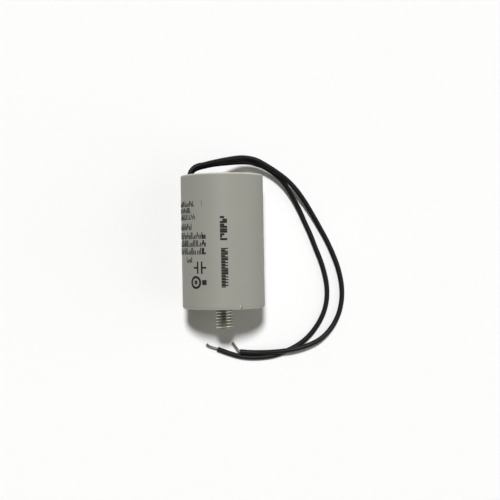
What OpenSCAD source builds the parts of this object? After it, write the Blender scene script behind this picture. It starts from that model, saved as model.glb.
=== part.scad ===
// Motor run capacitor: a moulded can with a fixing stud in its base, a wound
// film element cast in resin inside it, and two stranded leads out of its mouth.
// The can lies on its side along Y on a table at z = 0. The stud points to -Y,
// the leads leave at +Y and lie round the can on the +X side. Millimetres, Z up.

/* [Can] */
// Outside diameter of the can
can_d = 36; // [30:0.5:50]
// Length of the can from its base to its rim
can_l = 58; // [48:1:100]
// Wall thickness at the rim
wall_t = 1.4; // [1:0.1:2.4]
// Draft of the bore, as radius lost from rim to floor
bore_draft = 0.4; // [0:0.1:0.8]
// Radius of the rounded edge of the base
base_edge_r = 1.2; // [0.3:0.1:2.5]
// Radius of the rounded outer edge of the rim
rim_edge_r = 0.6; // [0.1:0.05:0.6]
// Radius of the rounded inner edge of the rim
rim_inner_r = 0.25; // [0.1:0.05:0.3]
// Radius of the fillet between the bore and its floor
floor_fillet_r = 1; // [0.3:0.1:1.2]
// Depth of the resin's face below the rim
resin_drop = 2; // [1:0.5:6]
// How far the resin creeps up the wall of the bore as it sets
meniscus_h = 0.4; // [0.1:0.1:0.6]
// Width of that rise
meniscus_w = 0.8; // [0.4:0.1:0.8]

/* [Stud] */
// Major diameter of the M8 thread
stud_d = 7.9; // [6:0.1:9.9]
// Length of the stud outside the base
stud_l = 9; // [6:1:20]
// Diameter of the plain shank between the thread and the head
shank_d = 7.2; // [5:0.1:7.6]
// Gap between the thread and the shallow recess round it in the base
relief_gap = 0.6; // [0.3:0.1:2]
// Depth of that recess
relief_h = 0.4; // [0.2:0.1:0.6]
// Chamfer on the end of the stud
stud_chamfer = 0.8; // [0.3:0.1:1.2]
// Width across the flats of the head moulded into the base
head_af = 13; // [11:0.5:17]
// Thickness of that head
head_h = 2.6; // [2:0.1:4]
// Plastic under the head, on the outside of the base
head_cover = 1.2; // [0.8:0.1:2]
// Plastic over the head, under the floor of the bore
floor_cover = 1.2; // [0.8:0.1:2]

/* [Spacer] */
// Thickness of the spacer's disc, which lies on the floor of the bore
spacer_t = 1.2; // [0.8:0.1:2]
// Height of the spacer's ring, which carries the winding
ring_h = 3; // [2.6:0.1:5]
// Wall thickness of that ring
ring_t = 1.6; // [1:0.1:2.5]
// Width of the slot in the ring for the lower tail
ring_slot = 8; // [6:0.5:9]
// Gap between the spacer's disc and the floor fillet
spacer_gap = 0.3; // [0.1:0.1:0.6]

/* [Winding] */
// Outside diameter of the core tube
core_d = 7; // [5:0.5:10]
// Wall thickness of the core tube
core_t = 1; // [0.6:0.1:1.5]
// Thickness of the plain film wrapped round the winding
wrap_t = 0.6; // [0.3:0.1:1]
// Thickness of the metal sprayed on each end of the winding
spray_t = 0.6; // [0.3:0.1:1]
// Resin over the upper sprayed end
top_cover = 7.6; // [6:0.2:15]

/* [Leads] */
// Diameter of a lead over its insulation
lead_d = 2.2; // [1.8:0.1:2.2]
// Diameter of the bare stranded conductor
strand_d = 1.2; // [0.8:0.1:1.4]
// Resin between a lead and the wall of the bore
lead_wall_gap = 1.1; // [0.9:0.1:1.5]
// Gap between a lead and the winding that it passes
lead_winding_gap = 0.1; // [0.05:0.05:0.5]
// Bare length between the insulation and the tail's bend
bare_l = 1.2; // [0.6:0.1:2]
// Centre-line radius of the tail's bend
tail_bend_r = 1.2; // [0.8:0.1:2]
// Straight length of tail that lies along the sprayed end
tail_l = 5; // [3.5:0.5:6]
// Gap between a tail and the sprayed end, filled with solder at the joint
tail_gap = 0.1; // [0.05:0.05:0.2]
// Base radius of a solder joint
solder_r = 2.3; // [1.8:0.1:2.6]
// Height of a solder joint
solder_h = 1.7; // [1.4:0.1:2]

/* [Hidden] */

$fn = 96;
// Straight pieces that make up a quarter-round edge
edge_steps = 6;
// Overshoot of a cutting shape past the face that it cuts
cut_over = 1;
// Sides of the plain tube that stands for a free lead
tube_sides = 8;

// Heights along the can's axis, from the outside of the base.
base_t = head_cover + head_h + floor_cover;
resin_z = can_l - resin_drop;
seat_z = base_t + spacer_t + ring_h;
top_z = resin_z - top_cover;

// Radii from the can's axis.
can_r = can_d / 2;
rim_bore_r = can_r - wall_t;
floor_bore_r = rim_bore_r - bore_draft;
lead_r = lead_d / 2;
strand_r = strand_d / 2;
core_r = core_d / 2;

// The leads run down one side of the bore, and the winding clears them.
lead_x = -(floor_bore_r - lead_wall_gap - lead_r);
wrap_r = -lead_x - lead_r - lead_winding_gap;
film_r = wrap_r - wrap_t;

// Place of the can: its base and its resin face along Y, its axis above the table.
base_y = (stud_l - can_l) / 2;
resin_y = base_y + resin_z;
axis_z = can_r;

// Routes of the two free leads, laid out for a resin face at the first point.
// They leave one above the other, bend towards +X, come down to the table and
// run round the can. The upper lead crosses over the lower one near its end.
UPPER_ROUTE = [
    [-14, 31.5, 19.15], [-14, 32.8, 19.15], [-13.5, 35.1, 19.15], [-12, 37, 19],
    [-9.9, 38, 18.8], [-8, 38.4, 17.9], [-4, 39.5, 16.1], [2, 41, 12.2],
    [8, 42, 9.5], [12, 41.8, 8.5], [15.5, 40.9, 8], [19.6, 38.7, 7.4],
    [24.2, 35.7, 6.8], [29, 32, 5.9], [33.6, 27.1, 4.6], [37.6, 21.3, 3.2],
    [41, 15.5, 2], [44, 10, 1.3], [47.1, 4, 1.1], [49.7, -2, 1.1],
    [51.8, -8, 1.1], [53.1, -14, 1.1], [53.5, -19, 1.1], [53.1, -24, 1.1],
    [51.8, -29, 1.2], [49.3, -34, 1.5], [45.8, -38.2, 2.1], [41.8, -41.2, 2.8],
    [37, -43.2, 3.3], [32, -44.6, 3.5], [27, -45.4, 3.4], [21.5, -45.9, 2.8],
    [16, -46.1, 2], [11, -46, 1.6], [6.5, -45.6, 1.6]];
LOWER_ROUTE = [
    [-14, 31.5, 16.85], [-14, 32.6, 16.85], [-13.45, 34.8, 16.85], [-12.2, 36.2, 16.75],
    [-10.4, 37.1, 16.4], [-8, 37.8, 15.4], [-4, 38.8, 13.3], [2, 39.7, 9.5],
    [8, 40.2, 7.3], [12, 40.1, 6.6], [15, 39.4, 6.1], [19.2, 37.8, 5.3],
    [23.6, 34.8, 4.7], [27.5, 31, 4.1], [31.2, 25.3, 2.6], [34.4, 19, 1.5],
    [37, 13, 1.1], [39.6, 7, 1.1], [41.8, 1, 1.1], [43.9, -4.5, 1.1],
    [45.5, -10, 1.1], [46.5, -15.5, 1.1], [46.6, -21, 1.1], [45.6, -26.5, 1.1],
    [43.5, -31.5, 1.1], [40.6, -36, 1.1], [37.1, -39.9, 1.1], [33, -43, 1.1],
    [27.8, -45.6, 1.1], [22.5, -47.5, 1.1], [17, -48.3, 1.1], [11.5, -48.4, 1.1],
    [6.5, -47.8, 1.1], [1.5, -46.3, 1.1], [-3.7, -44.3, 1.1]];
// Bare ends of the two leads, past the cut end of the insulation.
UPPER_TIP = [[5.7, -45.1, 1.5], [4.7, -43.8, 1.4], [3.9, -42.6, 1.5], [3.1, -41.4, 1.8]];
LOWER_TIP = [[-5.3, -43.8, 1], [-6.7, -43.4, 0.9], [-7.8, -42.9, 1.1], [-8.6, -42, 1.4]];

// Both routes slide in one piece with the place where the leads leave the resin.
route_slide = [lead_x - UPPER_ROUTE[0].x, resin_y - UPPER_ROUTE[0].y, 0];
// Where each lead crosses the resin's face, in the can's own frame.
upper_exit = [lead_x, axis_z - UPPER_ROUTE[0].z];
lower_exit = [lead_x, axis_z - LOWER_ROUTE[0].z];
// Height of each tail's axis: over the upper spray and under the lower one.
upper_tail_z = top_z + tail_gap + strand_r;
lower_tail_z = seat_z - tail_gap - strand_r;

// ---- Helpers ----

// Points of an arc, with angles in degrees.
function arc(centre, r, from, to, steps = edge_steps) =
    [for (i = [0 : steps])
        centre + r * [cos(from + (to - from) * i / steps),
                      sin(from + (to - from) * i / steps)]];

function unit(v) = v / norm(v);

// Direction of a path at point i, halfway between the stretches that meet there.
function heading(path, i) =
    let (last = len(path) - 1,
         before = i > 0 ? unit(path[i] - path[i - 1]) : [0, 0, 0],
         after = i < last ? unit(path[i + 1] - path[i]) : [0, 0, 0])
    unit(before + after);

// Points round one ring of a tube.
function ring(centre, along, r) =
    let (side = unit(cross(along, [0, 0, 1])), up = cross(side, along))
    [for (k = [0 : tube_sides - 1])
        let (a = 360 * k / tube_sides)
        centre + r * (cos(a) * side + sin(a) * up)];

// A plain tube along a path, with one ring at each point. Its first face is
// square to start, which is the path's own direction unless another is given.
module tube(path, r, start = undef) {
    last = len(path) - 1;
    first = is_undef(start) ? heading(path, 0) : start;
    points = [for (i = [0 : last]) each ring(path[i], i > 0 ? heading(path, i) : first, r)];
    function id(i, k) = i * tube_sides + k % tube_sides;
    start_cap = [for (k = [tube_sides - 1 : -1 : 0]) id(0, k)];
    end_cap = [for (k = [0 : tube_sides - 1]) id(last, k)];
    walls = [for (i = [0 : last - 1], k = [0 : tube_sides - 1]) each
        [[id(i, k), id(i, k + 1), id(i + 1, k + 1)],
         [id(i, k), id(i + 1, k + 1), id(i + 1, k)]]];
    polyhedron(points, concat([start_cap, end_cap], walls));
}

// The bare end of a lead, which starts flat against the end of the insulation.
module lead_tip(route, tip) {
    end = len(route) - 1;
    tube(concat([route[end]], tip), strand_r, heading(route, end));
}

// Lays what is built up along Z down along the can's axis.
module on_axis() {
    translate([0, base_y, axis_z]) rotate([-90, 0, 0]) children();
}

// A washer-shaped solid between two heights.
module hollow_disc(outer_r, inner_r, from, to) {
    translate([0, 0, from]) difference() {
        cylinder(r = outer_r, h = to - from);
        translate([0, 0, -cut_over]) cylinder(r = inner_r, h = to - from + 2 * cut_over);
    }
}

// ---- Forms, built up along Z from the outside of the base ----

// The can's outside, with its rounded base and rim.
module can_outside() {
    rotate_extrude() polygon(concat(
        [[0, 0]],
        arc([can_r - base_edge_r, base_edge_r], base_edge_r, -90, 0),
        arc([can_r - rim_edge_r, can_l - rim_edge_r], rim_edge_r, 0, 90),
        [[0, can_l]]));
}

// Radius of the drafted bore at a height above its floor's fillet.
function bore_r(z) =
    let (wall_foot = base_t + floor_fillet_r)
    floor_bore_r + bore_draft * (z - wall_foot) / (can_l - wall_foot);

// Section of the bore's floor, from the axis out to the top of its fillet.
floor_section = concat([[0, base_t]],
    arc([floor_bore_r - floor_fillet_r, base_t + floor_fillet_r], floor_fillet_r, -90, 0));

// The whole bore as a cutting shape, opened out round the inner edge of the rim.
module bore_cut() {
    edge_z = can_l - rim_inner_r;
    edge_r = bore_r(edge_z);
    rotate_extrude() polygon(concat(
        floor_section,
        arc([edge_r + rim_inner_r, edge_z], rim_inner_r, 180, 90),
        [[edge_r + rim_inner_r, can_l + cut_over], [0, can_l + cut_over]]));
}

// What the cast resin fills: the bore, less all that is over its face. The face is
// flat, and curves up where it wets the wall. The curve runs one step past the wall.
module resin_fill() {
    wall_r = bore_r(resin_z + meniscus_h);
    curve = [for (i = [edge_steps : -1 : -1]) let (share = i / edge_steps)
        [wall_r - meniscus_w * share, resin_z + meniscus_h * pow(1 - share, 2)]];
    difference() {
        bore_cut();
        rotate_extrude() polygon(concat(
            [[0, resin_z]], curve,
            [[can_r, curve[edge_steps + 1].y], [can_r, can_l + 2 * cut_over],
             [0, can_l + 2 * cut_over]]));
    }
}

// The shallow recess round the stud, which lets the base seat flat on a bracket.
module stud_relief() {
    translate([0, 0, -cut_over]) cylinder(r = stud_d / 2 + relief_gap, h = cut_over + relief_h);
}

// The stud: hexagonal head and plain shank in the base, chamfered thread outside.
module stud_form() {
    translate([0, 0, head_cover]) cylinder(d = head_af / cos(30), h = head_h, $fn = 6);
    rotate_extrude() polygon([
        [0, -stud_l], [stud_d / 2 - stud_chamfer, -stud_l],
        [stud_d / 2, stud_chamfer - stud_l], [stud_d / 2, 0],
        [shank_d / 2, 0], [shank_d / 2, head_cover], [0, head_cover]]);
}

// The spacer: a disc on the floor and a slotted ring under the winding.
module spacer_form() {
    disc_r = floor_bore_r - floor_fillet_r - spacer_gap;
    ring_r = film_r - wrap_t;
    translate([0, 0, base_t]) cylinder(r = disc_r, h = spacer_t);
    difference() {
        hollow_disc(ring_r, ring_r - ring_t, base_t + spacer_t, seat_z);
        translate([-ring_r - cut_over, lower_exit.y - ring_slot / 2, base_t + spacer_t])
            cube([ring_r, ring_slot, ring_h + cut_over]);
    }
}

// A bare tail: down from the insulation, round the bend, and in along the spray.
module tail_form(exit, tail_z) {
    translate([exit.x, exit.y, tail_z]) {
        translate([0, 0, tail_bend_r]) cylinder(r = strand_r, h = bare_l);
        translate([tail_bend_r, 0, tail_bend_r]) rotate([90, 0, 0])
            rotate([0, 0, 180]) rotate_extrude(angle = 90)
                translate([tail_bend_r, 0]) circle(r = strand_r);
        translate([tail_bend_r, 0, 0]) rotate([0, 90, 0]) cylinder(r = strand_r, h = tail_l);
    }
}

// A domed solder joint that stands up from a sprayed end.
module solder_dome() {
    ball_r = (pow(solder_r, 2) + pow(solder_h, 2)) / (2 * solder_h);
    intersection() {
        translate([0, 0, solder_h - ball_r]) sphere(r = ball_r, $fn = 32);
        translate([-solder_r - cut_over, -solder_r - cut_over, 0])
            cube([2 * (solder_r + cut_over), 2 * (solder_r + cut_over), solder_h + cut_over]);
    }
}

// Where a solder joint sits: round the inner end of the tail.
function joint_x(exit) = exit.x + tail_bend_r + tail_l - solder_r / 2;

module upper_dome() {
    translate([joint_x(upper_exit), upper_exit.y, top_z]) solder_dome();
}

module lower_dome() {
    translate([joint_x(lower_exit), lower_exit.y, seat_z]) mirror([0, 0, 1]) solder_dome();
}

// The insulated stretch of a lead inside the resin, down to where it is stripped.
module inner_lead_form(exit, tail_z) {
    strip_z = tail_z + tail_bend_r + bare_l;
    translate([exit.x, exit.y, strip_z]) cylinder(r = lead_r, h = resin_z - strip_z);
}

// The whole wound element as one form, for the resin that is cast round it.
module element_form() {
    hollow_disc(wrap_r, film_r - wrap_t, seat_z + spray_t, top_z - spray_t);
    hollow_disc(film_r, core_r - core_t, seat_z, top_z);
}

// ---- Pieces ----

module can() {
    color("#9c9c93") on_axis() difference() {
        can_outside();
        bore_cut();
        stud_relief();
        stud_form();
    }
}

module mounting_stud() {
    color("#b9bcbb") on_axis() stud_form();
}

module base_spacer() {
    color("#e8e6dc") on_axis() spacer_form();
}

module winding_core() {
    color("#d8d4c2") on_axis() hollow_disc(core_r, core_r - core_t, seat_z, top_z);
}

module film_winding() {
    color("#aeb4b8") on_axis() hollow_disc(film_r, core_r, seat_z + spray_t, top_z - spray_t);
}

module winding_wrap() {
    color("#e4e2d6") on_axis() hollow_disc(wrap_r, film_r, seat_z + spray_t, top_z - spray_t);
}

module end_spray_base() {
    color("#8d9094") on_axis() hollow_disc(film_r, core_r, seat_z, seat_z + spray_t);
}

module end_spray_top() {
    color("#8d9094") on_axis() hollow_disc(film_r, core_r, top_z - spray_t, top_z);
}

module solder_joint_base() {
    color("#c4c8ca") on_axis() difference() {
        lower_dome();
        tail_form(lower_exit, lower_tail_z);
    }
}

module solder_joint_top() {
    color("#c4c8ca") on_axis() difference() {
        upper_dome();
        tail_form(upper_exit, upper_tail_z);
    }
}

module potting_resin() {
    color("#3a3936") on_axis() difference() {
        resin_fill();
        spacer_form();
        element_form();
        upper_dome();
        lower_dome();
        tail_form(upper_exit, upper_tail_z);
        tail_form(lower_exit, lower_tail_z);
        inner_lead_form(upper_exit, upper_tail_z);
        inner_lead_form(lower_exit, lower_tail_z);
    }
}

module upper_lead_inner() {
    color("#1d1d1e") on_axis() inner_lead_form(upper_exit, upper_tail_z);
}

module lower_lead_inner() {
    color("#1d1d1e") on_axis() inner_lead_form(lower_exit, lower_tail_z);
}

module upper_lead_tail() {
    color("#c9c3b8") on_axis() tail_form(upper_exit, upper_tail_z);
}

module lower_lead_tail() {
    color("#c9c3b8") on_axis() tail_form(lower_exit, lower_tail_z);
}

module upper_lead() {
    color("#1d1d1e") translate(route_slide) tube(UPPER_ROUTE, lead_r);
}

module lower_lead() {
    color("#1d1d1e") translate(route_slide) tube(LOWER_ROUTE, lead_r);
}

module upper_lead_tip() {
    color("#c9c3b8") translate(route_slide) lead_tip(UPPER_ROUTE, UPPER_TIP);
}

module lower_lead_tip() {
    color("#c9c3b8") translate(route_slide) lead_tip(LOWER_ROUTE, LOWER_TIP);
}

can();
mounting_stud();
base_spacer();
winding_core();
film_winding();
winding_wrap();
end_spray_base();
end_spray_top();
solder_joint_base();
solder_joint_top();
potting_resin();
upper_lead_inner();
lower_lead_inner();
upper_lead_tail();
lower_lead_tail();
upper_lead();
lower_lead();
upper_lead_tip();
lower_lead_tip();
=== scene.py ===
# %% [markdown]
# # A motor run capacitor
#
# A small electric motor that runs on one phase needs a capacitor beside it. This one
# is a moulded plastic can with a threaded stud in its base, and two black leads that
# come out of the resin in its open end. It lies on its side on a table, with its
# leads laid round it in one long loop.
#
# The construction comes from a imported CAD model, which is loaded as a fixed frame.
# This script gives it its looks: smooth shells where the CAD is plain, round leads,
# a real thread, and a material for every piece. Each step has a short lesson first,
# and then the cells that make it.

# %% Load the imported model
import math
import random

import bmesh
import bpy
from mathutils import Matrix, Vector
from mathutils.geometry import interpolate_bezier


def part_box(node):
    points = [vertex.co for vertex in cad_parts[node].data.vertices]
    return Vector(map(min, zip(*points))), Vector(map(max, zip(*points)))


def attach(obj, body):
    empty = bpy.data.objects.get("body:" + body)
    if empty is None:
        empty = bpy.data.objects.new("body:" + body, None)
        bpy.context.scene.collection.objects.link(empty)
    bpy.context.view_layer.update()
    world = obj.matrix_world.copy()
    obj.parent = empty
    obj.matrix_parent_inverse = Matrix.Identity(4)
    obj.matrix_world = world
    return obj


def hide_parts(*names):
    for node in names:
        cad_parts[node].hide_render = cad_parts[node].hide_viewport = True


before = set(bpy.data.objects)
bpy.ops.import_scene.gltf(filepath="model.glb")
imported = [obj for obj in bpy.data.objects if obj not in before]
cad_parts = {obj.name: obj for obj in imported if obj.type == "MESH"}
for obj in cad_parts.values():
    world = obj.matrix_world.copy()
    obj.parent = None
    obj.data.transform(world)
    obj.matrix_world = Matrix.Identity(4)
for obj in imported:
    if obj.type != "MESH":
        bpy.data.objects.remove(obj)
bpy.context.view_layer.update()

MM = 0.001
print("CAD pieces:", ", ".join(sorted(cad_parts)))

# %% [markdown]
# ## The sizes that everything is built from
#
# Blender works in metres here, as the frame does. The main places are read from the
# boxes of the CAD pieces, so that a new piece lands where the old one was. The can
# lies along Y: its base faces -Y and its open end faces +Y.

# %% Read the main places from the frame
can_low, can_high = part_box("can")
stud_low, stud_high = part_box("mounting_stud")
resin_low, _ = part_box("potting_resin")

CAN_R = (can_high[0] - can_low[0]) / 2
CAN_L = can_high[1] - can_low[1]
BASE_Y = can_low[1]
AXIS_Z = (can_low[2] + can_high[2]) / 2
STUD_L = BASE_Y - stud_low[1]
HEAD_TOP = stud_high[1] - BASE_Y

# Turns what is built up along Z from the outside of the base until it lies along Y.
LAY_DOWN = Matrix.Translation((0, BASE_Y, AXIS_Z)) @ Matrix.Rotation(-math.pi / 2, 4, "X")
print(f"can {2 * CAN_R / MM:.1f} mm across and {CAN_L / MM:.1f} mm long, "
      f"stud {STUD_L / MM:.1f} mm out")

# %% [markdown]
# ## The camera
#
# The camera looks straight down from a little under half a metre, turned a degree
# or so, through a lens a bit longer than normal. It comes first, because everything
# after it is judged through it. It is data inside an object, as everything in a
# scene is, so one small function makes that object for it and for all that follows.

# %% Make the camera
CAMERA_PLACE = (0.01187, 0.00062, 0.436)
CAMERA_ROLL = -1.03
CAMERA_LENS = 68.6
SENSOR_WIDTH = 36
NEAREST_SEEN = 10 * MM


def add_object(name, data):
    """Puts data into an object at the origin, and that object into the scene."""
    thing = bpy.data.objects.new(name, data)
    bpy.context.scene.collection.objects.link(thing)
    return thing


camera_data = bpy.data.cameras.new("camera")
camera_data.sensor_width = SENSOR_WIDTH
camera_data.lens = CAMERA_LENS
camera_data.clip_start = NEAREST_SEEN
camera = add_object("camera", camera_data)
camera.location = CAMERA_PLACE
camera.rotation_euler = (0, 0, math.radians(CAMERA_ROLL))
bpy.context.scene.camera = camera
print(f"camera {CAMERA_PLACE[2] / MM:.0f} mm above the table")

# %% [markdown]
# ## Helpers for pieces
#
# Every piece ends the same way: its mesh goes into an object at the origin, it gets
# a material, and it is tied to the part's one body. Smooth shading with sharp edges
# kept makes turned and moulded forms look round without blurring their corners.

# %% Define how a piece is finished
# An edge that turns by more than this stays sharp.
SHARP = math.radians(35)
# Vertices that are nearer than this are the same one.
SEAM_GAP = 1e-4 * MM


def finish_piece(piece, material, slot, *nodes):
    """Gives a piece its material, ties it to the body, and hides the CAD pieces that it takes
    the place of.
    """
    piece.data.materials.append(material)
    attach(piece, "root")
    if nodes:
        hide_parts(*nodes)


def mesh_piece(name, bm, sharp=SHARP):
    """Turns a bmesh into an object at the origin, smooth but for its sharp edges."""
    mesh = bpy.data.meshes.new(name)
    bm.to_mesh(mesh)
    bm.free()
    mesh.shade_smooth()
    mesh.set_sharp_from_angle(angle=sharp)
    print(f"{name}: {len(mesh.polygons)} faces")
    return add_object(name, mesh)


def extrude(bm, vec):
    """Extrudes the flat sheet of faces in a bmesh by a vector, into a closed solid."""
    raised = bmesh.ops.extrude_face_region(bm, geom=bm.faces[:])
    bmesh.ops.translate(bm, vec=vec,
                        verts=[v for v in raised["geom"] if isinstance(v, bmesh.types.BMVert)])
    bmesh.ops.recalc_face_normals(bm, faces=bm.faces)


def join(bm, part):
    """Adds the mesh of one bmesh to another, and frees it."""
    joined = bpy.data.meshes.new("joined")
    part.to_mesh(joined)
    part.free()
    bm.from_mesh(joined)
    bpy.data.meshes.remove(joined)


# %% [markdown]
# ## Helpers for materials
#
# Colours are written as they look on a screen, in hex. Blender's sockets want them
# in linear light, so one function turns them. Another adds a node, sets what it is
# told to, and links the sockets that it is given. Every material is built from it.

# %% Define colours and nodes
def linear(hex_colour):
    """Turns an sRGB hex colour into the linear colour that a socket takes."""
    shown = [int(hex_colour[i:i + 2], 16) / 255 for i in (1, 3, 5)]
    light = [c / 12.92 if c <= 0.04045 else ((c + 0.055) / 1.055) ** 2.4 for c in shown]
    return (*light, 1.0)


def add(tree, kind, sockets=None, **settings):
    """Adds a node, sets its properties, and fills or links its input sockets."""
    node = tree.nodes.new(kind)
    for name, value in settings.items():
        setattr(node, name, value)
    for socket, value in (sockets or {}).items():
        if isinstance(value, bpy.types.NodeSocket):
            tree.links.new(value, node.inputs[socket])
        else:
            node.inputs[socket].default_value = value
    return node


def new_material(name, **sockets):
    """A material with its shader's own sockets set, such as Base_Color or Roughness."""
    material = bpy.data.materials.new(name)
    material.use_nodes = True
    shader = material.node_tree.nodes["Principled BSDF"]
    for socket, value in sockets.items():
        shader.inputs[socket.replace("_", " ")].default_value = value
    print("material", name)
    return material, material.node_tree, shader


def per(size_mm):
    """The scale of a pattern whose features are this many millimetres apart."""
    return 1 / (size_mm * MM)


# The sockets of a colour Mix node: its factor and its two colours.
FACTOR, COLOUR_A, COLOUR_B = 0, 6, 7
MIXED = 2


def from_axis(tree, place):
    """The distance of a place from the can's axis, which lies along Y."""
    flat = add(tree, "ShaderNodeVectorMath", {0: place, 1: (1, 0, 1)}, operation="MULTIPLY")
    return add(tree, "ShaderNodeVectorMath", {0: flat.outputs[0], 1: (0, 0, AXIS_Z)},
               operation="DISTANCE").outputs["Value"]


# %% [markdown]
# ## The two leads
#
# Each lead is stranded copper wire in black PVC, 2.2 mm over the insulation. Such a
# wire is limp enough to lie where it is put and stiff enough to keep a smooth bend.
# The route is a list of points, and a Bezier curve through them gives the even
# bends of the real thing. The handles are set along the direction between a
# point's neighbours, a third of the way to each, which keeps the curve from
# swinging wide. A bevel on the curve gives it its thickness.

# %% Lay out the routes, in millimetres
UPPER_ROUTE = [
    (-14, 31.5, 19.15), (-14, 32.8, 19.15), (-13.5, 35.1, 19.15), (-12, 37, 19),
    (-9.9, 38, 18.8), (-8, 38.4, 17.9), (-4, 39.5, 16.1), (2, 41, 12.2),
    (8, 42, 9.5), (12, 41.8, 8.5), (15.5, 40.9, 8), (19.6, 38.7, 7.4),
    (24.2, 35.7, 6.8), (29, 32, 5.9), (33.6, 27.1, 4.6), (37.6, 21.3, 3.2),
    (41, 15.5, 2), (44, 10, 1.3), (47.1, 4, 1.1), (49.7, -2, 1.1),
    (51.8, -8, 1.1), (53.1, -14, 1.1), (53.5, -19, 1.1), (53.1, -24, 1.1),
    (51.8, -29, 1.2), (49.3, -34, 1.5), (45.8, -38.2, 2.1), (41.8, -41.2, 2.8),
    (37, -43.2, 3.3), (32, -44.6, 3.5), (27, -45.4, 3.4), (21.5, -45.9, 2.8),
    (16, -46.1, 2), (11, -46, 1.6), (6.5, -45.6, 1.6)]
LOWER_ROUTE = [
    (-14, 31.5, 16.85), (-14, 32.6, 16.85), (-13.45, 34.8, 16.85), (-12.2, 36.2, 16.75),
    (-10.4, 37.1, 16.4), (-8, 37.8, 15.4), (-4, 38.8, 13.3), (2, 39.7, 9.5),
    (8, 40.2, 7.3), (12, 40.1, 6.6), (15, 39.4, 6.1), (19.2, 37.8, 5.3),
    (23.6, 34.8, 4.7), (27.5, 31, 4.1), (31.2, 25.3, 2.6), (34.4, 19, 1.5),
    (37, 13, 1.1), (39.6, 7, 1.1), (41.8, 1, 1.1), (43.9, -4.5, 1.1),
    (45.5, -10, 1.1), (46.5, -15.5, 1.1), (46.6, -21, 1.1), (45.6, -26.5, 1.1),
    (43.5, -31.5, 1.1), (40.6, -36, 1.1), (37.1, -39.9, 1.1), (33, -43, 1.1),
    (27.8, -45.6, 1.1), (22.5, -47.5, 1.1), (17, -48.3, 1.1), (11.5, -48.4, 1.1),
    (6.5, -47.8, 1.1), (1.5, -46.3, 1.1), (-3.7, -44.3, 1.1)]
# Bare ends, past the cut end of the insulation.
UPPER_TIP = [(5.7, -45.1, 1.5), (4.7, -43.8, 1.4), (3.9, -42.6, 1.5), (3.1, -41.4, 1.8)]
LOWER_TIP = [(-5.3, -43.8, 1), (-6.7, -43.4, 0.9), (-7.8, -42.9, 1.1), (-8.6, -42, 1.4)]

LEAD_D = 2.2 * MM


def in_metres(points):
    """Points in millimetres as vectors in metres."""
    return [Vector(point) * MM for point in points]


def heading(points, i):
    """The direction of a path at one of its points."""
    before, after = points[max(i - 1, 0)], points[min(i + 1, len(points) - 1)]
    return (after - before).normalized()


# %% Make the leads as curves
LEAD_ROUND = 6
LEAD_STEPS = 8
LENGTH_STEPS = 12


def round_curve(name, radius, roundness, steps):
    """An empty curve whose splines come out as round cords with closed ends."""
    curve = bpy.data.curves.new(name, "CURVE")
    curve.dimensions = "3D"
    curve.resolution_u = steps
    curve.bevel_depth = radius
    curve.bevel_resolution = roundness
    curve.use_fill_caps = True
    return curve


def lay_lead(name, points):
    """A round lead through the points, as one open Bezier spline."""
    curve = round_curve(name, LEAD_D / 2, LEAD_ROUND, LEAD_STEPS)
    spline = curve.splines.new("BEZIER")
    spline.bezier_points.add(len(points) - 1)
    for i, (knot, point) in enumerate(zip(spline.bezier_points, points)):
        along = heading(points, i)
        before = (point - points[max(i - 1, 0)]).length / 3
        after = (points[min(i + 1, len(points) - 1)] - point).length / 3
        knot.co = point
        knot.handle_left = point - along * (before or after)
        knot.handle_right = point + along * (after or before)
    return add_object(name, curve)


def curve_length(piece):
    """The length of a curve's own line."""
    knots = piece.data.splines[0].bezier_points
    total = 0
    for a, b in zip(knots, list(knots)[1:]):
        line = interpolate_bezier(a.co, a.handle_right, b.handle_left, b.co, LENGTH_STEPS)
        total += sum((q - p).length for p, q in zip(line, line[1:]))
    return total


upper_lead = lay_lead("upper_lead_wire", in_metres(UPPER_ROUTE))
lower_lead = lay_lead("lower_lead_wire", in_metres(LOWER_ROUTE))
for lead in (upper_lead, lower_lead):
    print(f"{lead.name}: {curve_length(lead) / MM:.1f} mm long")

# %% [markdown]
# ### PVC insulation
#
# Lead insulation is plasticised PVC, pulled through a die over the strands. It is
# almost black and a little soft, with the low, wide sheen of a flexible plastic.
# Handling leaves duller patches. A fine grain in the bump breaks up the highlight.

# %% Make the insulation's material
def make_pvc():
    """Flexible PVC: almost black, a low sheen, duller in patches."""
    material, tree, shader = new_material("black_pvc_insulation",
                                          IOR=1.45, Specular_IOR_Level=0.2)
    place = add(tree, "ShaderNodeTexCoord").outputs["Object"]
    patches = add(tree, "ShaderNodeTexNoise", {"Vector": place, "Scale": per(6), "Detail": 3.0})
    colour = add(tree, "ShaderNodeMix",
                 {FACTOR: patches.outputs["Fac"], COLOUR_A: linear("#090808"),
                  COLOUR_B: linear("#110f10")}, data_type="RGBA")
    tree.links.new(colour.outputs[MIXED], shader.inputs["Base Color"])
    dull = add(tree, "ShaderNodeMapRange",
               {"Value": patches.outputs["Fac"], "To Min": 0.38, "To Max": 0.56})
    tree.links.new(dull.outputs["Result"], shader.inputs["Roughness"])
    # The grain of the extruded skin is about 0.05 mm. It is drawn at 0.3 mm to show.
    grain = add(tree, "ShaderNodeTexNoise", {"Vector": place, "Scale": per(0.3), "Detail": 2.0})
    bump = add(tree, "ShaderNodeBump",
               {"Height": grain.outputs["Fac"], "Strength": 0.4, "Distance": 0.02 * MM})
    tree.links.new(bump.outputs["Normal"], shader.inputs["Normal"])
    return material


pvc = make_pvc()
finish_piece(upper_lead, pvc, "lead_insulation", "upper_lead")
finish_piece(lower_lead, pvc, "lead_insulation", "lower_lead")

# %% [markdown]
# ### The bare ends
#
# Each lead is stripped for a few millimetres, and its strands are twisted and
# dipped in solder. A bundle of nineteen thin wires, laid in two twisted rings
# round one in the middle, shows that from close up. Each strand is a spline of its
# own in one curve object, a little off its place so that the bundle isn't perfect.

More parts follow.
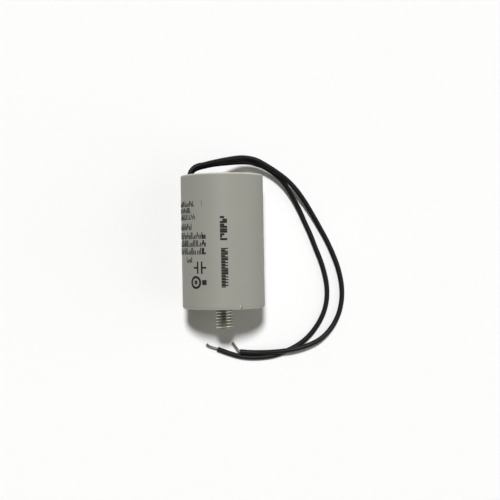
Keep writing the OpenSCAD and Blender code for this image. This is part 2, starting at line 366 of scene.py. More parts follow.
# %% Make the twisted strands
STRAND_R = 0.12 * MM
STRAND_ROUND = 2
TWIST_PITCH = 12 * MM
TIP_STEPS = 6
# How many strands each ring has, and how far out it lies.
RINGS = ((1, 0), (6, 0.245 * MM), (12, 0.475 * MM))
# How far a strand may stray round its ring, in radians.
STRAY = 0.12


def sampled(points, per_span):
    """Points close together along a smooth line through the given points."""
    line = []
    for i in range(len(points) - 1):
        a, b = points[i], points[i + 1]
        reach = (b - a).length / 3
        span = interpolate_bezier(a, a + heading(points, i) * reach,
                                  b - heading(points, i + 1) * reach, b, per_span + 1)
        line += span[:-1]
    return line + [points[-1]]


def strand_bundle(name, route, tip, seed):
    """A twisted bundle of strands that grows out of the end of a lead."""
    wander = random.Random(seed)
    line = sampled(in_metres([route[-1], *tip]), TIP_STEPS)
    curve = round_curve(name, STRAND_R, STRAND_ROUND, steps=1)
    for count, ring_r in RINGS:
        for k in range(count):
            spline = curve.splines.new("POLY")
            spline.points.add(len(line) - 1)
            drift = wander.uniform(-STRAY, STRAY)
            travelled = 0
            for i, point in enumerate(line):
                along = heading(line, i)
                side = along.cross(Vector((0, 0, 1))).normalized()
                up = side.cross(along)
                travelled += (point - line[i - 1]).length if i else 0
                turn = 2 * math.pi * (k / count + travelled / TWIST_PITCH) + drift
                offset = ring_r * (math.cos(turn) * side + math.sin(turn) * up)
                spline.points[i].co = (*(point + offset), 1)
    return add_object(name, curve)


upper_tip = strand_bundle("upper_lead_strands", UPPER_ROUTE, UPPER_TIP, seed=3)
lower_tip = strand_bundle("lower_lead_strands", LOWER_ROUTE, LOWER_TIP, seed=4)


# %% Make tinned copper
def make_tinned_copper():
    """Solder-dipped strands: bright metal gone slightly dull, with greyer lows."""
    material, tree, shader = new_material("tinned_copper", Metallic=1.0)
    place = add(tree, "ShaderNodeTexCoord").outputs["Object"]
    film = add(tree, "ShaderNodeTexNoise", {"Vector": place, "Scale": per(0.8), "Detail": 3.0})
    colour = add(tree, "ShaderNodeMix",
                 {FACTOR: film.outputs["Fac"], COLOUR_A: linear("#4f4d4a"),
                  COLOUR_B: linear("#95928c")}, data_type="RGBA")
    tree.links.new(colour.outputs[MIXED], shader.inputs["Base Color"])
    dull = add(tree, "ShaderNodeMapRange",
               {"Value": film.outputs["Fac"], "To Min": 0.45, "To Max": 0.25})
    tree.links.new(dull.outputs["Result"], shader.inputs["Roughness"])
    return material


tinned = make_tinned_copper()
finish_piece(upper_tip, tinned, "tinned_copper", "upper_lead_tip")
finish_piece(lower_tip, tinned, "tinned_copper", "lower_lead_tip")

for lead, route, tip in ((upper_lead, UPPER_ROUTE, upper_tip),
                         (lower_lead, LOWER_ROUTE, lower_tip)):
    curve_length(lead)

# %% [markdown]
# ## The can
#
# The can is one moulding: a deep cup with a draft inside, so that it comes off its
# core, and a rounded base. A lathe form suits it, so its outline is drawn as half
# a section and spun round the axis. The outline carries a few extra points beside
# each rounded edge, which keep the shading of the long flat walls clean.

# %% Define the lathe
SPIN_STEPS = 256


def arc(centre, radius, start, end, steps=6):
    """Points of an arc in the section, with angles in degrees."""
    turns = [math.radians(start + (end - start) * i / steps) for i in range(steps + 1)]
    return [(centre[0] + radius * math.cos(t), centre[1] + radius * math.sin(t)) for t in turns]


def spun(outline, steps=SPIN_STEPS, climb=0):
    """Spins an outline of (radius, height) points once round the Z axis, in a new
    bmesh. A spin that climbs by some height at each step doesn't meet its own start."""
    bm = bmesh.new()
    corners = [bm.verts.new((r, 0, h)) for r, h in outline]
    edges = [bm.edges.new(pair) for pair in zip(corners, corners[1:])]
    bmesh.ops.spin(bm, geom=corners + edges, cent=(0, 0, 0), axis=(0, 0, 1),
                   dvec=(0, 0, climb), angle=2 * math.pi, steps=steps,
                   use_merge=not climb)
    bmesh.ops.remove_doubles(bm, verts=bm.verts, dist=SEAM_GAP)
    bmesh.ops.recalc_face_normals(bm, faces=bm.faces)
    return bm


# %% [markdown]
# The can is moulded round its stud, so the stud's head is shaped first and serves
# twice: here as the hollow that it leaves in the base, and later as the head itself.

# %% Shape the stud's head
SHANK_R = 3.6 * MM
HEAD_AF = 13 * MM
HEAD_BOTTOM = 1.2 * MM
HEAD_EDGE_R = 0.25 * MM
HALF_SIDE_TURN = math.pi / 6


def stud_head():
    """The hexagonal head, a corner towards +X, with its edges eased."""
    bm = bmesh.new()
    bmesh.ops.create_circle(bm, cap_ends=True, segments=6,
                            radius=HEAD_AF / 2 / math.cos(HALF_SIDE_TURN),
                            matrix=Matrix.Rotation(HALF_SIDE_TURN, 4, "Z"))
    bmesh.ops.translate(bm, verts=bm.verts, vec=(0, 0, HEAD_BOTTOM))
    extrude(bm, (0, 0, HEAD_TOP - HEAD_BOTTOM))
    bmesh.ops.bevel(bm, geom=bm.edges[:], offset=HEAD_EDGE_R, offset_type="OFFSET",
                    segments=2, profile=0.5, affect="EDGES", material=-1)
    return bm


# %% Spin the can
BASE_EDGE_R = 1.2 * MM
RIM_EDGE_R = 0.6 * MM
RIM_INNER_R = 0.25 * MM
WALL_T = 1.4 * MM
FLOOR_R = 16.2 * MM
FLOOR_FILLET_R = 1.0 * MM
BASE_T = resin_low[1] - BASE_Y
RELIEF_R = 4.55 * MM
RELIEF_H = 0.4 * MM
BASE_EDGE_STEPS = 8
WALL_ROWS = 24
# How far past a rounded edge the outline has a point that holds the flat beside it,
# and how far in from its edge the base has one more.
SUPPORT = 0.3 * MM
KEPT_FLAT = 3 * MM

BORE_R = CAN_R - WALL_T
WALL_FOOT = BASE_EDGE_R + SUPPORT
WALL_H = CAN_L - BASE_EDGE_R - RIM_EDGE_R - 2 * SUPPORT
can_outline = [
    (SHANK_R, HEAD_BOTTOM), (SHANK_R, RELIEF_H),
    (RELIEF_R - SUPPORT, RELIEF_H), (RELIEF_R, RELIEF_H), (RELIEF_R, 0),
    (RELIEF_R + SUPPORT, 0), (CAN_R - KEPT_FLAT, 0), (CAN_R - BASE_EDGE_R - SUPPORT, 0),
    *arc((CAN_R - BASE_EDGE_R, BASE_EDGE_R), BASE_EDGE_R, -90, 0, BASE_EDGE_STEPS),
    *[(CAN_R, WALL_FOOT + WALL_H * i / WALL_ROWS) for i in range(WALL_ROWS + 1)],
    *arc((CAN_R - RIM_EDGE_R, CAN_L - RIM_EDGE_R), RIM_EDGE_R, 0, 90),
    *arc((BORE_R + RIM_INNER_R, CAN_L - RIM_INNER_R), RIM_INNER_R, 90, 180),
    (BORE_R, CAN_L - RIM_INNER_R - SUPPORT),
    (FLOOR_R, BASE_T + FLOOR_FILLET_R + SUPPORT),
    *arc((FLOOR_R - FLOOR_FILLET_R, BASE_T + FLOOR_FILLET_R), FLOOR_FILLET_R, 0, -90),
    (FLOOR_R - FLOOR_FILLET_R - SUPPORT, BASE_T), (0, BASE_T)]
can_mesh = spun(can_outline)

# %% [markdown]
# The head's form is turned inside out first, because its faces have to point into the
# hollow. Its underside is left out there, and the opening is bridged to the edge of
# the hole that the shank comes through.

# %% Hollow the base out for the head
hollow = stud_head()
under = min(hollow.faces, key=lambda face: face.calc_center_median().z)
bmesh.ops.delete(hollow, geom=[under], context="FACES_ONLY")
bmesh.ops.reverse_faces(hollow, faces=hollow.faces)
join(can_mesh, hollow)
mouths = [edge for edge in can_mesh.edges if edge.is_boundary]
bmesh.ops.bridge_loops(can_mesh, edges=mouths)
bmesh.ops.recalc_face_normals(can_mesh, faces=can_mesh.faces)
print(f"hollow bridged across {len(mouths)} edges, can holds "
      f"{can_mesh.calc_volume(signed=True) / MM ** 3:.0f} mm3 of plastic")

# %% [markdown]
# The rounded edge of the base has one small knock, a dent with a burr beside it. The
# mesh is divided more finely there, and its points are pushed in by a smooth dip
# and out by a smaller bump.

# %% Press the flaw into the base edge
FLAW_TURN = math.radians(27)
FLAW_HEIGHT = 0.7 * MM
FLAW_WIDTH = 0.4 * MM
FLAW_LENGTH = 1.2 * MM
FLAW_DEPTH = 0.7 * MM
BURR_ASIDE = 0.5 * MM
BURR_UP = 0.5 * MM
BURR_H = 0.22 * MM
# How far round the flaw the mesh is divided, and how far round it points move.
FINE_REACH = 2.5 * MM
MOVED_REACH = 4 * MM
FINE_CUTS = 3
# The dent goes this much towards the can's other end for each 1 that it goes inwards.
PRESSED_ALONG = 0.4


def on_wall(turn, height, radius=CAN_R):
    """A place on the can, before it is laid down; turn runs from its top towards +X."""
    return Vector((radius * math.sin(turn), -radius * math.cos(turn), height))


burr_place = on_wall(FLAW_TURN - BURR_ASIDE / CAN_R, FLAW_HEIGHT + BURR_UP)
dent_place = on_wall(FLAW_TURN, FLAW_HEIGHT, CAN_R - FLAW_DEPTH)

flaw = on_wall(FLAW_TURN, FLAW_HEIGHT)
near = [e for e in can_mesh.edges if all((v.co - flaw).length < FINE_REACH for v in e.verts)]
bmesh.ops.subdivide_edges(can_mesh, edges=near, cuts=FINE_CUTS, use_grid_fill=True)
across = Vector((math.cos(FLAW_TURN), math.sin(FLAW_TURN), 0))
outward = Vector((math.sin(FLAW_TURN), -math.cos(FLAW_TURN), 0))
inward = (Vector((0, 0, PRESSED_ALONG)) - outward).normalized()
for vert in can_mesh.verts:
    away = vert.co - flaw
    if away.length < MOVED_REACH:
        dip = math.exp(-(away.dot(across) / FLAW_WIDTH) ** 2 - (away.z / FLAW_LENGTH) ** 2
                       - (away.dot(outward) / FLAW_LENGTH) ** 2)
        burr = math.exp(-((away.dot(across) + BURR_ASIDE) / FLAW_WIDTH) ** 2
                        - ((away.z - BURR_UP) / FLAW_WIDTH) ** 2)
        vert.co += inward * (FLAW_DEPTH * dip - BURR_H * burr)

bmesh.ops.transform(can_mesh, matrix=LAY_DOWN, verts=can_mesh.verts)
can = mesh_piece("moulded_can", can_mesh)

# %% [markdown]
# ### Moulded polypropylene
#
# The can is polypropylene, filled for stiffness and moulded against a steel tool
# with a fine spark-eroded texture. That gives a pale, warm grey with a satin, almost
# chalky surface. Age has mottled it very slightly. Along the rim and the edge of the
# base it is painted paler: partly rubbed by handling, partly a painted highlight where
# those rounded edges catch the light. The pale band follows the distance from the
# can's middle and from its axis, broken up by noise so that it isn't an even line.
# The dent of the knock is painted dark, as painted shade in it.

# %% Make the can's material
# How wide the pale band at each end is: rub wear, and a painted highlight on the rounded edge.
RUB_AND_HIGHLIGHT_WIDTH = 0.9 * MM
# From the middle of the burr or the dent: where the burr's pale colour or the dent's painted
# shade starts to fade, and ends.
PALE_REACH = (0.25 * MM, 0.7 * MM)
DENT_SHADE_REACH = (0.2 * MM, 0.6 * MM)


def make_can_plastic():
    """Filled polypropylene: pale warm grey, satin, slightly mottled, painted paler at its ends
    as rub and painted highlight, and painted shade in its dent.
    """
    material, tree, shader = new_material("moulded_polypropylene", IOR=1.45)
    place = add(tree, "ShaderNodeTexCoord").outputs["Object"]
    cloud = add(tree, "ShaderNodeTexNoise", {"Vector": place, "Scale": per(9), "Detail": 3.0})
    mottle = add(tree, "ShaderNodeTexNoise", {"Vector": place, "Scale": per(1.2), "Detail": 4.0})
    tone = add(tree, "ShaderNodeMix",
               {FACTOR: cloud.outputs["Fac"], COLOUR_A: linear("#8d8d88"),
                COLOUR_B: linear("#94938a")}, data_type="RGBA")
    speck = add(tree, "ShaderNodeMapRange",
                {"Value": mottle.outputs["Fac"], "From Min": 0.55, "From Max": 0.75,
                 "To Max": 0.2})
    aged = add(tree, "ShaderNodeMix",
               {FACTOR: speck.outputs["Result"], COLOUR_A: tone.outputs[MIXED],
                COLOUR_B: linear("#838175")}, data_type="RGBA")
    along = add(tree, "ShaderNodeSeparateXYZ", {"Vector": place}).outputs["Y"]
    middle = add(tree, "ShaderNodeMath", {0: along, 1: BASE_Y + CAN_L / 2}, operation="SUBTRACT")
    apart = add(tree, "ShaderNodeMath", {0: middle.outputs[0]}, operation="ABSOLUTE")
    edge = add(tree, "ShaderNodeMapRange",
               {"Value": apart.outputs[0], "From Min": CAN_L / 2 - RUB_AND_HIGHLIGHT_WIDTH,
                "From Max": CAN_L / 2 - RUB_AND_HIGHLIGHT_WIDTH / 3})
    outer = add(tree, "ShaderNodeMapRange",
                {"Value": from_axis(tree, place), "From Min": BORE_R - RUB_AND_HIGHLIGHT_WIDTH,
                 "From Max": CAN_R - BASE_EDGE_R / 2})
    both = add(tree, "ShaderNodeMath", {0: edge.outputs["Result"], 1: outer.outputs["Result"]},
               operation="MULTIPLY")
    # The eroded texture of the tool is about 0.1 mm. It is drawn at 0.35 mm to show.
    grain = add(tree, "ShaderNodeTexNoise", {"Vector": place, "Scale": per(0.35), "Detail": 2.0})
    broken = add(tree, "ShaderNodeMapRange",
                 {"Value": grain.outputs["Fac"], "From Min": 0.2, "From Max": 0.7})
    # Paler at the rim and the base edge: partly rub wear, partly a painted highlight on the
    # rounded edges.
    rub_and_edge_highlight = add(tree, "ShaderNodeMath", {0: both.outputs[0], 1: broken.outputs["Result"]},
              operation="MULTIPLY")
    # Plastic that was knocked turns pale where it was pushed up. The dent is painted dark:
    # painted shade down in it.
    knocked = add(tree, "ShaderNodeVectorMath", {0: place, 1: LAY_DOWN @ burr_place},
                  operation="DISTANCE")
    pale = add(tree, "ShaderNodeMapRange",
               {"Value": knocked.outputs["Value"], "From Min": PALE_REACH[0],
                "From Max": PALE_REACH[1], "To Min": 0.75, "To Max": 0.0})
    rub_and_edge_highlight = add(tree, "ShaderNodeMath", {0: rub_and_edge_highlight.outputs[0], 1: pale.outputs["Result"]},
              operation="MAXIMUM")
    # The pale band mixed in here is rub wear and painted highlight together.
    worn = add(tree, "ShaderNodeMix",
               {FACTOR: rub_and_edge_highlight.outputs[0], COLOUR_A: aged.outputs[MIXED],
                COLOUR_B: linear("#d5d3c8")}, data_type="RGBA")
    dented = add(tree, "ShaderNodeVectorMath", {0: place, 1: LAY_DOWN @ dent_place},
                 operation="DISTANCE")
    # Painted shade: the colour goes dark towards the middle of the dent.
    dent_shade = add(tree, "ShaderNodeMapRange",
               {"Value": dented.outputs["Value"], "From Min": DENT_SHADE_REACH[0],
                "From Max": DENT_SHADE_REACH[1], "To Min": 0.8, "To Max": 0.0})
    colour = add(tree, "ShaderNodeMix",
                 {FACTOR: dent_shade.outputs["Result"], COLOUR_A: worn.outputs[MIXED],
                  COLOUR_B: linear("#3a3932")}, data_type="RGBA")
    tree.links.new(colour.outputs[MIXED], shader.inputs["Base Color"])
    satin = add(tree, "ShaderNodeMapRange",
                {"Value": cloud.outputs["Fac"], "To Min": 0.52, "To Max": 0.62})
    tree.links.new(satin.outputs["Result"], shader.inputs["Roughness"])
    bump = add(tree, "ShaderNodeBump",
               {"Height": grain.outputs["Fac"], "Strength": 0.35, "Distance": 0.02 * MM})
    tree.links.new(bump.outputs["Normal"], shader.inputs["Normal"])
    return material


finish_piece(can, make_can_plastic(), "can_plastic", "can")

# %% [markdown]
# ### The printed marks
#
# Small lines of rating data are pad-printed on such a can in matt black ink. Here
# they are marks that only give the look of print: groups of short strokes, and two
# plain signs. All of it is drawn flat, as on the printing plate, in millimetres: how
# far across from the can's top line, and how far along the can. Then it is bent
# round the can, and given the thickness of a coat of ink.

# %% Define strokes of ink
INK_PROUD = 0.03 * MM
INK_THICK = 0.05 * MM
# The longest cell of a bar, in millimetres.
LONGEST_CELL = 1.0

# Each group is two upright strokes. These are how low and how high each of them
# reaches, in shares of the line's height, with the tall groups first.
GROUPS = (((0, 1), (0, 1)), ((0, 1), (0, 0.62)), ((0, 0.62), (0, 0.62)),
          ((0, 0.3), (0, 1)), ((0, 0.62), (0.34, 1)))
# In shares of a group's width: where its second stroke starts, how far on the next
# group starts, in a word and after one, and how thick a stroke of heavy print is.
SECOND_STROKE = 0.58
GROUP_STEP = 1.08
WORD_STEP = 1.5
HEAVY = 0.48
# The share of groups that end a word.
WORD_ENDS = 0.12


def ink_bar(bm, left, low, right, high):
    """A flat bar of ink, in cells short enough to follow the can when it is bent."""
    cells = max(1, math.ceil((right - left) / LONGEST_CELL))
    middle = Matrix.Translation(((left + right) / 2, (low + high) / 2, 0))
    halves = Matrix.Diagonal(((right - left) / 2, (high - low) / 2, 1, 1))
    return bmesh.ops.create_grid(bm, x_segments=cells, y_segments=1, size=1,
                                 matrix=middle @ halves)["verts"]


def ink_ring(bm, across, along, outer, inner, steps=24):
    """A flat ring of ink: two circles with faces between them."""
    middle = Matrix.Translation((across, along, 0))
    edges = []
    for radius in (outer, inner):
        circle = bmesh.ops.create_circle(bm, segments=steps, radius=radius, matrix=middle)
        edges += {edge for vert in circle["verts"] for edge in vert.link_edges}
    bmesh.ops.bridge_loops(bm, edges=edges)


def line_of_print(length, width, thick, heavy, shapes, pick):
    """The strokes of a line: where along it each starts and ends, its low and its high."""
    place = 0
    while place + width <= length:
        share = HEAVY if place < heavy else thick
        for start, (low, high) in zip((0, SECOND_STROKE), pick.choice(shapes)):
            yield place + start * width, place + (start + share) * width, low, high
        place += width * (WORD_STEP if pick.random() < WORD_ENDS else GROUP_STEP)


# %% Print the marks
# Lines that run round the can: where each ends, its middle, its height, its length,
# and how much of it at that end is heavy.
ROUND_LINES = (
    (-12.6, 20.7, 2.4, 22, 0), (-14.8, 17.9, 2.2, 20, 0), (-12.1, 15.1, 2.3, 22, 0),
    (-14.3, 10.9, 2.7, 16, 0), (-6.9, 7.1, 2.8, 27, 1.5), (-6.9, 3.8, 2.8, 27, 1.5),
    (-6.9, 0.5, 2.8, 27, 1.5), (-14.3, -3.1, 2.5, 4, 0))
# How wide a group is for its height there, and how thick a light stroke is for that.
ROUND_WIDTH = 0.5
ROUND_THICK = 0.3
# Lines that run along the can, all heavy: their low and high side, where each starts,
# its length, how wide a group is for its height, and the groups that it has.
LONG_LINES = ((-0.6, 2.45, 15.1, 11.3, 0.62, GROUPS),
              (-0.3, 2.6, 1.7, 17.4, 0.38, GROUPS[:2]))
PRINT_SEED = 12

marks = bmesh.new()
pick = random.Random(PRINT_SEED)
for end, middle, height, length, heavy in ROUND_LINES:
    for near, far, low, high in line_of_print(length, ROUND_WIDTH * height, ROUND_THICK,
                                              heavy, GROUPS, pick):
        ink_bar(marks, end - far, middle + (low - 0.5) * height,
                end - near, middle + (high - 0.5) * height)
for foot, head, start, length, share, shapes in LONG_LINES:
    tall = head - foot
    for near, far, low, high in line_of_print(length, share * tall, HEAVY, length,
                                              shapes, pick):
        ink_bar(marks, foot + low * tall, start - far, foot + high * tall, start - near)

# The sign of a capacitor: two plates, each with its lead.
ink_bar(marks, -11.5, -9.1, -10.75, -3.9)
ink_bar(marks, -9.4, -9.1, -8.65, -3.9)
ink_bar(marks, -13.3, -6.9, -11.5, -6.15)
ink_bar(marks, -8.65, -6.9, -6.9, -6.15)
# A plain ring round a dot, and a square beside it.
ink_ring(marks, -12.2, -12.75, 2.8, 1.8)
ink_ring(marks, -12.2, -12.75, 0.9, 0.2)
ink_bar(marks, -8.9, -13.8, -6.8, -11.7)
# A hairline scuff, where something dark was drawn across the can at a slant.
SCUFF_LOW, SCUFF_HIGH = 19.5, 22.0
SCUFF_SLANT = 0.1
for vert in ink_bar(marks, -8.72, SCUFF_LOW, -8.57, SCUFF_HIGH):
    vert.co.x += SCUFF_SLANT * ((SCUFF_LOW + SCUFF_HIGH) / 2 - vert.co.y)

# Bend it all round the can.
for vert in marks.verts:
    across, along = vert.co.x, vert.co.y
    turn = across * MM / CAN_R
    radius = CAN_R + INK_PROUD
    vert.co = (radius * math.sin(turn), along * MM, AXIS_Z + radius * math.cos(turn))
bmesh.ops.recalc_face_normals(marks, faces=marks.faces)
bmesh.ops.solidify(marks, geom=marks.faces[:], thickness=INK_THICK)
bmesh.ops.recalc_face_normals(marks, faces=marks.faces)
print_marks = mesh_piece("print_marks", marks)


# %% Make the ink
def make_ink():
    """Matt black ink, thin enough in places for the grey to show through."""
    material, tree, shader = new_material("pad_printed_ink",
                                          Roughness=0.7, Specular_IOR_Level=0.2)
    place = add(tree, "ShaderNodeTexCoord").outputs["Object"]
    worn = add(tree, "ShaderNodeTexNoise", {"Vector": place, "Scale": per(0.8), "Detail": 3.0})
    thin = add(tree, "ShaderNodeMapRange",
               {"Value": worn.outputs["Fac"], "From Min": 0.5, "From Max": 0.75, "To Max": 0.4})
    colour = add(tree, "ShaderNodeMix",
                 {FACTOR: thin.outputs["Result"], COLOUR_A: linear("#0c0c0b"),
                  COLOUR_B: linear("#5a5952")}, data_type="RGBA")
    tree.links.new(colour.outputs[MIXED], shader.inputs["Base Color"])
    return material


finish_piece(print_marks, make_ink(), "print_ink")

# %% [markdown]
# ## The stud
#
# The stud is an M8 screw with a rolled thread of 1.25 mm pitch, moulded into the
# base by its hexagonal head. A thread is a spin that climbs: the outline of its
# teeth goes round once and rises by one pitch, and then each tooth's end meets the
# next one's start. Two flat cuts trim it, and its end is turned down to a chamfer.

# %% Spin and trim the thread
PITCH = 1.25 * MM
CREST_R = 3.95 * MM
ROOT_R = 3.26 * MM
CREST_FLAT = PITCH / 8
ROOT_FLAT = PITCH / 5
THREAD_STEPS = 96
STUD_CHAMFER = 0.8 * MM
# The thread is made longer than the stud at both ends, by this much at its free end.
SPARE_THREAD = 1.5 * PITCH
# A vertex that is nearer than this to the plane of a cut is on it.
ON_CUT = 1e-3 * MM


def tooth(start):
    """One tooth of the thread in section, from the middle of one root to the next."""
    flank = (PITCH - CREST_FLAT - ROOT_FLAT) / 2
    return [(ROOT_R, start), (ROOT_R, start + ROOT_FLAT / 2),
            (CREST_R, start + ROOT_FLAT / 2 + flank),
            (CREST_R, start + ROOT_FLAT / 2 + flank + CREST_FLAT),
            (ROOT_R, start + PITCH - ROOT_FLAT / 2)]


def capped(bm, plane_height, clear_above):
    """Cuts a bmesh flat at a height, drops one side, and closes the cut."""
    bmesh.ops.bisect_plane(bm, geom=bm.verts[:] + bm.edges[:] + bm.faces[:], dist=SEAM_GAP,
                           plane_co=(0, 0, plane_height), plane_no=(0, 0, 1),
                           clear_outer=clear_above, clear_inner=not clear_above)
    rim = [edge for edge in bm.edges if edge.is_boundary
           and all(abs(vert.co.z - plane_height) < ON_CUT for vert in edge.verts)]
    filled = bmesh.ops.holes_fill(bm, edges=rim, sides=0)
    print(f"cut at {plane_height / MM:.1f} mm: {len(rim)} edges, {len(filled['faces'])} cap")


turns = math.ceil((STUD_L + SPARE_THREAD) / PITCH) + 1
outline = [point for k in range(turns) for point in tooth(-STUD_L - SPARE_THREAD + k * PITCH)]
thread = spun(outline, THREAD_STEPS, climb=PITCH / THREAD_STEPS)
capped(thread, 0, clear_above=True)
for vert in thread.verts:
    radius = math.hypot(vert.co.x, vert.co.y)
    allowed = CREST_R - STUD_CHAMFER + max(0, vert.co.z + STUD_L)
    if radius > allowed:
        vert.co.x *= allowed / radius
        vert.co.y *= allowed / radius
capped(thread, -STUD_L, clear_above=False)
bmesh.ops.recalc_face_normals(thread, faces=thread.faces)

# %% Add the shank and the head
SHANK_STEPS = 64
# The shank reaches a little into the thread and into the head.
SHANK_FROM = -0.05 * MM
SHANK_TO = HEAD_BOTTOM + 0.1 * MM
STUD_SHARP = math.radians(25)

join(thread, spun([(0, SHANK_FROM), (SHANK_R, SHANK_FROM), (SHANK_R, SHANK_TO), (0, SHANK_TO)],
                  SHANK_STEPS))
join(thread, stud_head())
bmesh.ops.transform(thread, matrix=LAY_DOWN, verts=thread.verts)
stud = mesh_piece("threaded_stud", thread, STUD_SHARP)


# %% Make zinc-plated steel
def make_zinc():
    """Zinc on rolled steel: bright and smooth on the crests, duller in the roots, and the roots
    painted dark as painted shade.
    """
    material, tree, shader = new_material("zinc_plated_steel", Metallic=1.0)
    place = add(tree, "ShaderNodeTexCoord").outputs["Object"]
    bloom = add(tree, "ShaderNodeTexNoise", {"Vector": place, "Scale": per(1.5), "Detail": 3.0})
    # How far out towards the crest a place is. It sets the roughness, and it paints the roots
    # dark: painted shade down in the thread.
    crest_vs_root_shade = add(tree, "ShaderNodeMapRange",
                {"Value": from_axis(tree, place), "From Min": ROOT_R, "From Max": CREST_R})
    plating = add(tree, "ShaderNodeMix",
                  {FACTOR: bloom.outputs["Fac"], COLOUR_A: linear("#bebcb1"),
                   COLOUR_B: linear("#e0ddd2")}, data_type="RGBA")
    colour = add(tree, "ShaderNodeMix",
                 {FACTOR: crest_vs_root_shade.outputs["Result"], COLOUR_A: linear("#77746b"),
                  COLOUR_B: plating.outputs[MIXED]}, data_type="RGBA")
    tree.links.new(colour.outputs[MIXED], shader.inputs["Base Color"])
    dull = add(tree, "ShaderNodeMapRange",
               {"Value": crest_vs_root_shade.outputs["Result"], "To Min": 0.38, "To Max": 0.2})
    tree.links.new(dull.outputs["Result"], shader.inputs["Roughness"])
    return material


finish_piece(stud, make_zinc(), "zinc_steel", "mounting_stud")

# %% [markdown]
# ## The resin and the wound element
#
# Inside, the wound element stands on a spacer and is cast in resin up to 2 mm below
# the rim. The CAD has the right shapes for all of it, so those pieces stay, and only
# their materials are made here. Where the leads come out, the resin wets them and
# creeps up a little. That fillet is a small plate whose height falls off with the
# distance from the nearer lead, and whose edge dives under the resin's face.

# %% Raise the resin round the leads
# All in millimetres: the fillet's height and width, half the plate's width and
# height, its thickness, and how far its edge dives.
FILLET_H = 0.45
FILLET_W = 0.55
PLATE_HALF = (1.75, 2.9)
PLATE_T = 0.15
UNDER = 0.02
PLATE_CELLS = 46
LEAD_X, FACE_Y, _ = UPPER_ROUTE[0]
LEAD_HEIGHTS = (UPPER_ROUTE[0][2], LOWER_ROUTE[0][2])


def fillet_height(x, z):
    """How far the resin stands above its face, in millimetres, at a place on it."""
    nearest = min(math.hypot(x - LEAD_X, z - lead_z) for lead_z in LEAD_HEIGHTS)
    share = (nearest - LEAD_D / 2 / MM) / FILLET_W
    return FILLET_H * (1 - min(max(share, 0), 1)) ** 2 - UNDER


fillets = bmesh.new()
bmesh.ops.create_grid(fillets, x_segments=PLATE_CELLS, y_segments=PLATE_CELLS, size=1)
middle_z = sum(LEAD_HEIGHTS) / 2
for vert in fillets.verts:
    x = LEAD_X + vert.co.x * PLATE_HALF[0]
    z = middle_z + vert.co.y * PLATE_HALF[1]
    vert.co = Vector((x, FACE_Y + fillet_height(x, z), z)) * MM
extrude(fillets, (0, -PLATE_T * MM, 0))
resin_fillets = mesh_piece("resin_fillets", fillets)


# %% Make the resin
def make_resin():
    """Cast polyurethane: dark, glossy, with slow waves and patches of two near tones."""
    material, tree, shader = new_material("cast_resin", IOR=1.5)
    place = add(tree, "ShaderNodeTexCoord").outputs["Object"]
    cloud = add(tree, "ShaderNodeTexNoise", {"Vector": place, "Scale": per(3), "Detail": 3.0})
    colour = add(tree, "ShaderNodeMix",
                 {FACTOR: cloud.outputs["Fac"], COLOUR_A: linear("#2b2927"),
                  COLOUR_B: linear("#403d39")}, data_type="RGBA")
    tree.links.new(colour.outputs[MIXED], shader.inputs["Base Color"])
    gloss = add(tree, "ShaderNodeMapRange",
                {"Value": cloud.outputs["Fac"], "To Min": 0.16, "To Max": 0.34})
    tree.links.new(gloss.outputs["Result"], shader.inputs["Roughness"])
    waves = add(tree, "ShaderNodeTexNoise", {"Vector": place, "Scale": per(5), "Detail": 1.0})
    bump = add(tree, "ShaderNodeBump",
               {"Height": waves.outputs["Fac"], "Strength": 0.5, "Distance": 0.25 * MM})
    tree.links.new(bump.outputs["Normal"], shader.inputs["Normal"])
    return material


resin = make_resin()
finish_piece(resin_fillets, resin, "resin")


# %% Make the materials of the element
def make_mottled(name, dark, pale, size_mm, rough_low, rough_high, **sockets):
    """A finish of two near tones in patches, with its roughness varied the same way."""
    material, tree, shader = new_material(name, **sockets)
    place = add(tree, "ShaderNodeTexCoord").outputs["Object"]
    patches = add(tree, "ShaderNodeTexNoise",
                  {"Vector": place, "Scale": per(size_mm), "Detail": 4.0})
    colour = add(tree, "ShaderNodeMix",
                 {FACTOR: patches.outputs["Fac"], COLOUR_A: linear(dark),
                  COLOUR_B: linear(pale)}, data_type="RGBA")
    tree.links.new(colour.outputs[MIXED], shader.inputs["Base Color"])
    rough = add(tree, "ShaderNodeMapRange",
                {"Value": patches.outputs["Fac"], "To Min": rough_low, "To Max": rough_high})
    tree.links.new(rough.outputs["Result"], shader.inputs["Roughness"])
    bump = add(tree, "ShaderNodeBump",
               {"Height": patches.outputs["Fac"], "Strength": 0.4, "Distance": 0.05 * MM})
    tree.links.new(bump.outputs["Normal"], shader.inputs["Normal"])
    return material


def dress(material, *nodes):
    """Gives CAD pieces that keep their shape a better material."""
    for node in nodes:
        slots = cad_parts[node].data.materials
        slots.clear()
        slots.append(material)


natural = make_mottled("natural_polypropylene", "#dad6c8", "#ebe8dd", 2, 0.4, 0.55)
sprayed = make_mottled("sprayed_zinc", "#6f7173", "#a2a4a6", 0.5, 0.6, 0.8, Metallic=0.8)
solder = make_mottled("solder", "#b9bbbc", "#dcdddd", 1, 0.2, 0.35, Metallic=1.0)
film = make_mottled("metallised_film", "#9ca1a6", "#c3c7ca", 4, 0.2, 0.3, Metallic=0.9)
wrap = make_mottled("plain_film_wrap", "#d9d6c6", "#e9e7da", 6, 0.12, 0.2, IOR=1.6)
dress(resin, "potting_resin")
dress(natural, "base_spacer", "winding_core")
dress(sprayed, "end_spray_base", "end_spray_top")
dress(solder, "solder_joint_base", "solder_joint_top")
dress(film, "film_winding")
dress(wrap, "winding_wrap")
dress(tinned, "upper_lead_tail", "lower_lead_tail")
dress(pvc, "upper_lead_inner", "lower_lead_inner")
print("all CAD pieces that stay have their materials")

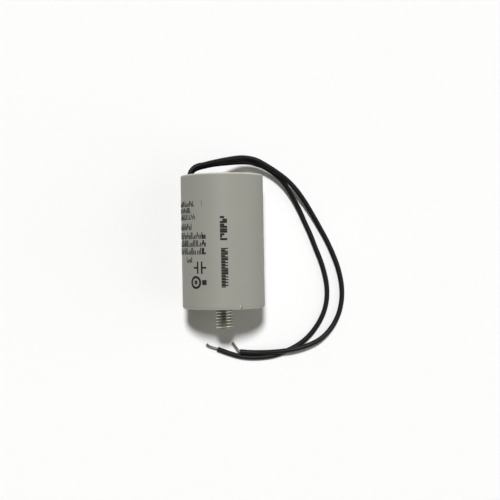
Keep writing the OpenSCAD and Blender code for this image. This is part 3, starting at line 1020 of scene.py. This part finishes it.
# %% [markdown]
# ## The floor and the light
#
# The part lies on plain white paper. A sun lamp stands for the window: it shines
# from above, past the open end, and its wide angle softens the shadows. A second,
# weaker one comes from the right at a very wide angle, as light does that a wall
# sends back, and opens the side of the can that the leads lie on.

# %% Lay the floor
FLOOR_HALF = 3000 * MM

floor_mesh = bmesh.new()
bmesh.ops.create_grid(floor_mesh, x_segments=1, y_segments=1, size=FLOOR_HALF)
floor = mesh_piece("floor", floor_mesh)
paper, tree, shader = new_material("white_paper", Roughness=0.9)
place = add(tree, "ShaderNodeTexCoord").outputs["Object"]
fibres = add(tree, "ShaderNodeTexNoise", {"Vector": place, "Scale": per(2), "Detail": 3.0})
colour = add(tree, "ShaderNodeMix",
             {FACTOR: fibres.outputs["Fac"], COLOUR_A: linear("#f4f4f6"),
              COLOUR_B: linear("#f8f8fa")}, data_type="RGBA")
tree.links.new(colour.outputs[MIXED], shader.inputs["Base Color"])
floor.data.materials.append(paper)

# %% Light the scene
KEY_STRENGTH = 3.05
KEY_ANGLE = 9
KEY_FROM = Vector((0.0, 0.46, 1))
FILL_STRENGTH = 0.55
FILL_ANGLE = 60
FILL_FROM = Vector((1, -0.1, 0.65))
SKY_STRENGTH = 0.085


def sun(name, strength, angle, come_from):
    """A sun lamp, softened by a wide angle, that shines from a direction."""
    data = bpy.data.lights.new(name, "SUN")
    data.energy = strength
    data.angle = math.radians(angle)
    lamp = add_object(name, data)
    lamp.rotation_euler = come_from.to_track_quat("Z", "Y").to_euler()


sun("key", KEY_STRENGTH, KEY_ANGLE, KEY_FROM)
sun("fill", FILL_STRENGTH, FILL_ANGLE, FILL_FROM)

# %% [markdown]
# The world does two jobs. It gives a low, even glow that fills the shadows. And it
# is what shiny things mirror: a white room with a darker ceiling, which leaves a
# dark streak along the top of the metal stud and keeps the black leads black.

# %% Make the world
# Where the ceiling starts to darken and where it is darkest, as the sine of the angle
# over the horizon, and how bright it is there.
CEILING_STARTS = 0.55
CEILING_FULL = 0.95
CEILING = 0.12

world = bpy.data.worlds.new("studio")
bpy.context.scene.world = world
world.use_nodes = True
sky = world.node_tree
sky.nodes.clear()
rays = add(sky, "ShaderNodeLightPath")
seen = add(sky, "ShaderNodeMath",
           {0: rays.outputs["Is Camera Ray"], 1: rays.outputs["Is Glossy Ray"]},
           operation="ADD", use_clamp=True)
seen = add(sky, "ShaderNodeMath",
           {0: seen.outputs[0], 1: rays.outputs["Is Transmission Ray"]},
           operation="ADD", use_clamp=True)
direction = add(sky, "ShaderNodeTexCoord").outputs["Generated"]
height = add(sky, "ShaderNodeSeparateXYZ", {"Vector": direction}).outputs["Z"]
room = add(sky, "ShaderNodeMapRange",
           {"Value": height, "From Min": CEILING_STARTS, "From Max": CEILING_FULL,
            "To Min": 1.0, "To Max": CEILING})
glow = add(sky, "ShaderNodeBackground", {"Color": linear("#fffad0"), "Strength": SKY_STRENGTH})
backdrop = add(sky, "ShaderNodeBackground",
               {"Color": linear("#f7f6f5"), "Strength": room.outputs["Result"]})
either = add(sky, "ShaderNodeMixShader",
             {0: seen.outputs[0], 1: glow.outputs[0], 2: backdrop.outputs[0]})
add(sky, "ShaderNodeOutputWorld", {"Surface": either.outputs[0]})

bpy.context.scene.view_settings.view_transform = "Standard"
